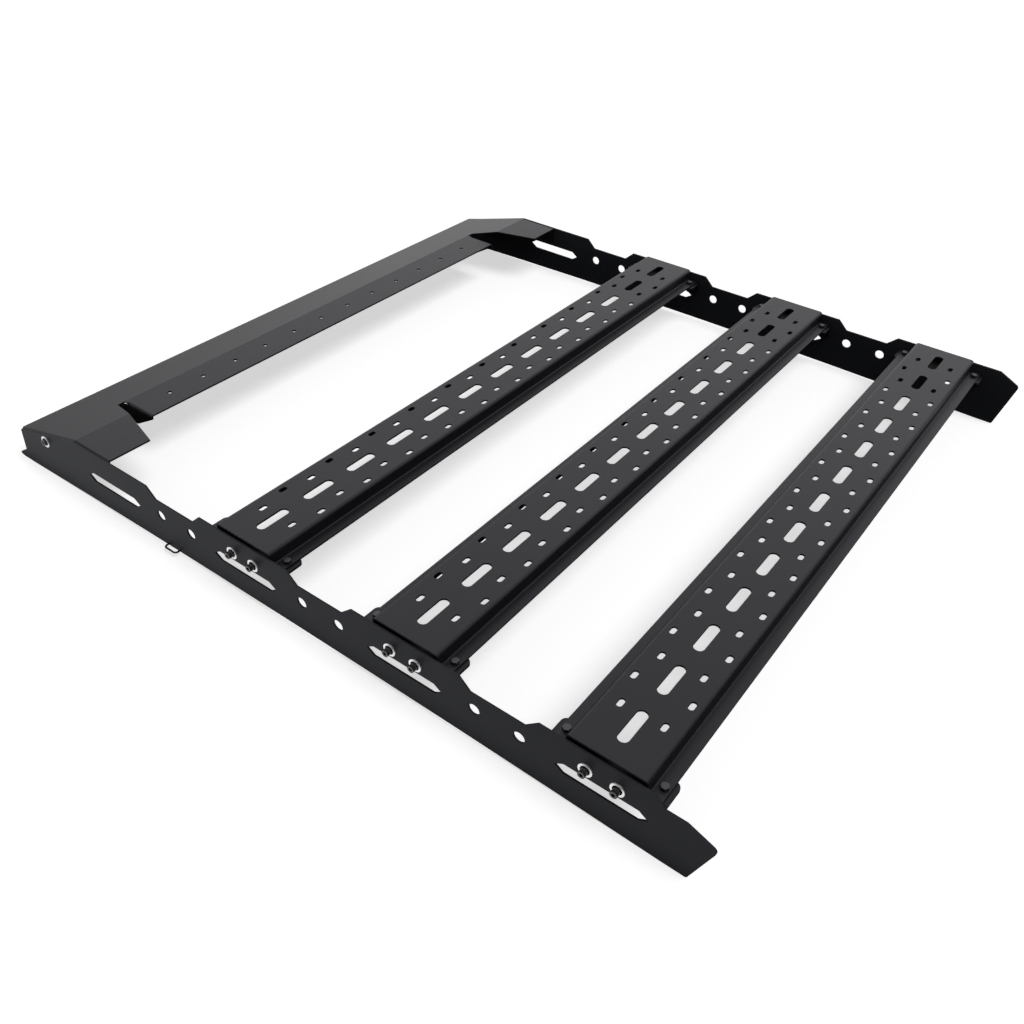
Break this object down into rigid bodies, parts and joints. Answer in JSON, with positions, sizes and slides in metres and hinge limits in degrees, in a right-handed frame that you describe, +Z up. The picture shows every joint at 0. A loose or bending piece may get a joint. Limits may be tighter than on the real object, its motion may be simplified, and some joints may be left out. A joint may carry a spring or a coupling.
{
  "type": "low-profile truck cargo rack",
  "caption": "Low open cargo rack of folded sheet: arched side plates with lashing slots, a sloped front fairing with wings, and perforated planks of hat section on angle brackets.",
  "frame": {"origin": "middle of the rack's width and length, on the floor under its feet", "axes": "+X to the right-hand side plate, +Y to the front fairing, +Z up"},
  "size_m": [1.23, 1.3312, 0.113],
  "materials": {
    "side_plate_coat": "fine-textured matte black powder coat",
    "fairing_coat": "fine-textured matte black powder coat",
    "plank_coat": "fine-textured matte black powder coat",
    "bracket_coat": "fine-textured matte black powder coat",
    "eye_coat": "satin black coated rod",
    "bolt_black": "black oxide bolts and nuts",
    "washer_zinc": "bright zinc washers"
  },
  "bodies": {
    "root": {"left_side_plate": "side_plate_coat", "right_side_plate": "side_plate_coat", "front_fairing": "fairing_coat", "rear_plank": "plank_coat", "rear_plank_left_bracket": "bracket_coat", "rear_plank_right_bracket": "bracket_coat", "middle_plank": "plank_coat", "middle_plank_left_bracket": "bracket_coat", "middle_plank_right_bracket": "bracket_coat", "front_plank": "plank_coat", "front_plank_left_bracket": "bracket_coat", "front_plank_right_bracket": "bracket_coat", "left_lashing_eye": "eye_coat", "right_lashing_eye": "eye_coat"}
  },
  "joints": []
}
